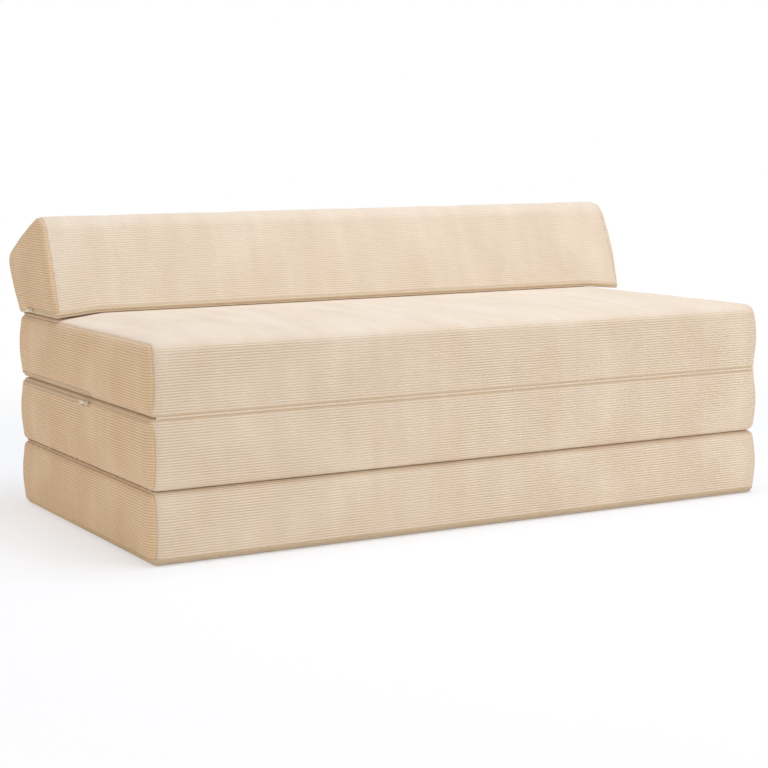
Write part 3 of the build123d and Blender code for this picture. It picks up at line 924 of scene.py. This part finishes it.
def backing_of():
    """Plain-woven cotton twill under the cushions: flat and matt, with a faint diagonal grain."""
    material, tree, shader = finish_of("Plain-woven cotton backing", "#dbc7ab", 0.9)
    place = cloth_place(tree)
    twill = add_node(tree, "TexWave", {"Vector": place, "Scale": wave_band / twill_pitch,
                                       "Distortion": 0.6}, bands_direction="DIAGONAL")
    grain = mottle(tree, place, yarn_grain)
    tone = add_node(tree, "Mix", {0: grain, 6: colour("#e4d0b7"), 7: colour("#d2bb9c")}, 2,
                    **mixed)
    faint = add_node(tree, "Math", {0: twill, 1: 0.25}, operation="MULTIPLY")
    tone = add_node(tree, "Mix", {0: faint, 6: tone, 7: colour("#c4ae8e")}, 2, **mixed)
    bump = add_node(tree, "Bump", {"Height": twill, "Strength": 0.4,
                                   "Distance": twill_relief * millimetre})
    feed(tree, shader, {"Base Color": tone, "Normal": bump, "Specular IOR Level": 0.2})
    return material


def tape_of():
    """Woven polyester zipper tape: matt, with fine ribs across it and a dustier tone where the
    yarn has fuzzed."""
    material, tree, shader = finish_of("Woven polyester zipper tape", "#d8c3a3", 0.8)
    place = cloth_place(tree)
    ribs = add_node(tree, "TexWave", {"Vector": place, "Scale": wave_band / tape_rib_pitch,
                                      "Distortion": 0.5})
    fuzz = mottle(tree, place, fuzz_patch)
    tone = add_node(tree, "Mix", {0: ribs, 6: colour("#ceb896"), 7: colour("#dfcbad")}, 2, **mixed)
    tone = add_node(tree, "Mix", {0: fuzz, 6: tone, 7: colour("#d9c8ac")}, 2, **mixed)
    bump = add_node(tree, "Bump", {"Height": ribs, "Strength": 0.4,
                                   "Distance": tape_relief * millimetre})
    feed(tree, shader, {"Base Color": tone, "Normal": bump})
    return material


def coil_of():
    """Nylon coil, drawn and heat-set: a soft plastic gloss, with the dye a little uneven from turn
    to turn and duller spots where it rubs."""
    material, tree, shader = finish_of("Heat-set nylon zipper coil", "#d3bc98", 0.5)
    place = cloth_place(tree)
    dyed, rubbed = mottle(tree, place, coil_pitch), mottle(tree, place, rubbed_patch)
    tone = add_node(tree, "Mix", {0: dyed, 6: colour("#c8b08a"), 7: colour("#dcc7a6")}, 2, **mixed)
    dull = add_node(tree, "MapRange", {"Value": rubbed, "To Min": 0.38, "To Max": 0.6})
    feed(tree, shader, {"Base Color": tone, "Roughness": dull})
    return material


def metal_of():
    """Nickel-plated zinc, die-cast and tumbled: warm grey, satin, with fine rubbed marks that
    break up its reflections, and a slightly duller tone in patches from handling."""
    material, tree, shader = finish_of("Nickel-plated die-cast zinc", "#d8cab4", 0.3, metallic=1.0)
    metres = add_node(tree, "TexCoord", output="Object")
    place = add_node(tree, "VectorMath", {0: metres, 1: [1 / millimetre] * 3},
                     operation="MULTIPLY")
    handled, marks = mottle(tree, place, handled_patch), mottle(tree, place, tumbled_mark)
    tone = add_node(tree, "Mix", {0: handled, 6: colour("#ddd0bb"), 7: colour("#cbbda5")}, 2,
                    **mixed)
    satin = add_node(tree, "MapRange", {"Value": handled, "To Min": 0.25, "To Max": 0.4})
    bump = add_node(tree, "Bump", {"Height": marks, "Strength": 0.15,
                                   "Distance": mark_relief * millimetre})
    feed(tree, shader, {"Base Color": tone, "Roughness": satin, "Normal": bump})
    return material


corduroy = corduroy_of("Cut-pile cotton corduroy", "#ead8c2", "#ccb08e", "#efe1ca", "#e8d4bb")
# A darker, deeper tan copy of the same corduroy: painted shade for the left end panel.
shaded_left_end_corduroy = corduroy_of("Cotton corduroy with its nap turned", "#e9ceab", "#c39d72", "#ecd3b0",
                         "#e4c5a0")
backing = backing_of()
tape, coil, metal = tape_of(), coil_of(), metal_of()

for cushion in cushions:
    piece = upholster(cushion, [corduroy, shaded_left_end_corduroy, backing])
    name = cushion.name
    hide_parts(f"{name}_foam_core", f"{name}_cover_base_panel", f"{name}_cover_wrap",
                f"{name}_cover_left_end", f"{name}_cover_right_end")
    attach(piece, f"{name}_section")

    for bar, part, look in ((tape_bar, "tape", tape), (coil_bar, "chain", coil)):
        piece = bar(cushion).build(f"{name}_{part}", [look])
        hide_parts(f"{name}_zipper_{part}")
        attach(piece, f"{name}_section")

# Cloth hinges: a web of the cover's cloth, sewn to both walls, with a fold along the hinge line
web_reach, web_thickness, web_tuck, web_end_gap = 7.0, 0.9, 2.4, 10.0
fold_width, fold_top = 1.2, -3.4
web_steps, web_columns = 19, 181


def web_offset(distance, swell, offset):
    """How far the web stands out from the hinge line, at a distance from it along the wall: it is
    tucked under the wall's own curve, flat in the crease, and rises by a bell curve to the fold."""
    run = section_thickness / 2 - np.maximum(distance, hinge_edge)
    wall = bulge(run, section_thickness / 2, swell) - offset
    fold = np.exp(-((distance / fold_width) ** 2))
    return (wall - web_tuck) * (1 - fold) + fold_top * fold


def hinge_cloth(name, lower, upper, side, storey):
    """The web of one hinge: a closed strip swept along the sofa."""
    line = np.array([side * hinge_reach, storey * section_thickness])
    outs, aways = [np.array([side, 0.0])] * 2, [np.array([0.0, -1.0]), np.array([0.0, 1.0])]
    swells, offsets = [wall_swell] * 2, [hinge_reach - half_depth] * 2
    if upper == "backrest":
        tilt = np.radians(backrest_back_angle)
        outs[1] = np.array([np.sin(tilt), -np.cos(tilt)])
        aways[1] = np.array([np.cos(tilt), np.sin(tilt)])
        swells[1], offsets[1] = backrest_swells[2], hinge_clearance + backrest_swells[2]
    distance = np.linspace(0, web_reach, web_steps)
    halves = []
    for out, away, swell, offset in zip(outs, aways, swells, offsets):
        rise = web_offset(distance, swell, offset)
        halves.append(line + np.outer(rise, out) + np.outer(distance, away))
    middle = np.concatenate([halves[0][:0:-1], halves[1]])
    ahead = np.gradient(middle, axis=0)
    ahead /= np.linalg.norm(ahead, axis=1, keepdims=True)
    square = np.stack([ahead[:, 1], -ahead[:, 0]], 1) * side
    outer, inner = middle + square * web_thickness / 2, middle - square * web_thickness / 2
    loop = np.concatenate([outer, inner[::-1]])
    across = run_of(middle)
    across = np.concatenate([across, across[::-1]])
    columns = np.linspace(-1, 1, web_columns) * (half_length - web_end_gap)
    rings = np.empty((len(loop), len(columns), 3))
    rings[..., 0] = columns
    rings[..., 1:] = loop[:, None]
    mesh = Mesh()
    mesh.tube(rings, 0, across=across[:, None], along=columns[None])
    piece = mesh.build(f"{name}_cloth", [corduroy])
    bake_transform(piece)
    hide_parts(f"{name}_{lower}_strip", f"{name}_{upper}_strip")


hinge_cloth("rear_hinge", "base", "middle", 1, 1)
hinge_cloth("front_hinge", "middle", "seat", -1, 2)
hinge_cloth("backrest_hinge", "seat", "backrest", 1, 3)

# The sliders and pulls keep the frame's shapes
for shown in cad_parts.values():
    if not shown.hide_render:
        shown.data.materials.clear()
        shown.data.materials.append(metal)

# Camera, fitted to the corners of the sofa in the photograph
picture_size, picture_shift = 768, 60
scene = bpy.context.scene
lens = bpy.data.cameras.new("camera")
lens.sensor_width = 36.0
lens.lens = 86.8
lens.shift_y = -picture_shift / picture_size
camera = bpy.data.objects.new("camera", lens)
scene.collection.objects.link(camera)
scene.camera = camera
camera_place = (-1.8672, -3.3464, 0.7382)
yaw, pitch, roll = np.radians([28.97, 5.57, -0.49])
turned = Matrix.Rotation(-yaw, 4, "Z") @ Matrix.Rotation(np.pi / 2 - pitch, 4, "X")
turned = turned @ Matrix.Rotation(roll, 4, "Z")
camera.matrix_world = Matrix.Translation(camera_place) @ turned
lens.clip_start, lens.clip_end = 0.05, 100.0

# Studio: a white sweep, a big soft lamp overhead, a warmer one from the front right and a small
# warm one from the left
floor_half, floor_drop = 30.0, 0.0005
fade_start, fade_full, fade_least = 0.9, 2.4, 0.5
scene.view_settings.view_transform = "Standard"


def area_lamp(name, place, aim, size, power, tint):
    """A soft square lamp that shines on a point."""
    light = bpy.data.lights.new(name, "AREA")
    light.size, light.energy, light.color = size, power, colour(tint)[:3]
    lamp = bpy.data.objects.new(name, light)
    scene.collection.objects.link(lamp)
    lamp.location = place
    lamp.rotation_euler = (Vector(aim) - lamp.location).to_track_quat("-Z", "Y").to_euler()


area_lamp("overhead", place=(0.4, -0.5, 3.2), aim=(0, 0, 0.4), size=2.4, power=64, tint="#dde9ff")
area_lamp("front", place=(1.8, -3.6, 1.8), aim=(0.1, 0, 0.3), size=1.8, power=30, tint="#ffeedb")
area_lamp("side", place=(-3.4, -0.2, 1.0), aim=(-0.7, 0, 0.25), size=1.6, power=10, tint="#ffd9b0")

floor_mesh = bpy.data.meshes.new("floor")
floor_corners = [(x * floor_half, y * floor_half, -floor_drop)
                 for x, y in ((-1, -1), (1, -1), (1, 1), (-1, 1))]
floor_mesh.from_pydata(floor_corners, [], [(0, 1, 2, 3)])
floor = bpy.data.objects.new("floor", floor_mesh)
scene.collection.objects.link(floor)
paper, tree, shader = finish_of("Studio paper", "#ffffff", 0.9)
floor_mesh.materials.append(paper)


def seen_rays(tree):
    """One for rays from the camera and for those that metal sends on, and nought for the rest."""
    seen = add_node(tree, "LightPath", output="Is Camera Ray")
    for kind in ("Is Glossy Ray", "Is Transmission Ray"):
        other = add_node(tree, "LightPath", output=kind)
        seen = add_node(tree, "Math", {0: seen, 1: other}, operation="MAXIMUM")
    return seen


# The paper fades into plain white away from the sofa, for the rays that are seen
place = add_node(tree, "TexCoord", output="Object")
away = add_node(tree, "VectorMath", {0: place}, "Value", operation="LENGTH")
fade = add_node(tree, "MapRange", {"Value": away, "From Min": fade_start, "From Max": fade_full,
                                   "To Min": fade_least}, interpolation_type="SMOOTHSTEP")
share = add_node(tree, "Math", {0: fade, 1: seen_rays(tree)}, operation="MULTIPLY")
white = add_node(tree, "Emission")
surface = add_node(tree, "MixShader", {0: share, 1: shader.outputs[0], 2: white})
feed(tree, tree.nodes["Material Output"], {"Surface": surface})

world = bpy.data.worlds.new("studio")
scene.world = world
world.use_nodes = True
tree = world.node_tree
around = tree.nodes["Background"]
feed(tree, around, {"Color": colour("#ffffff"), "Strength": 0.55})
backdrop = add_node(tree, "Background", {"Color": colour("#ffffff")})
surface = add_node(tree, "MixShader", {0: seen_rays(tree), 1: around.outputs[0], 2: backdrop})
feed(tree, tree.nodes["World Output"], {"Surface": surface})
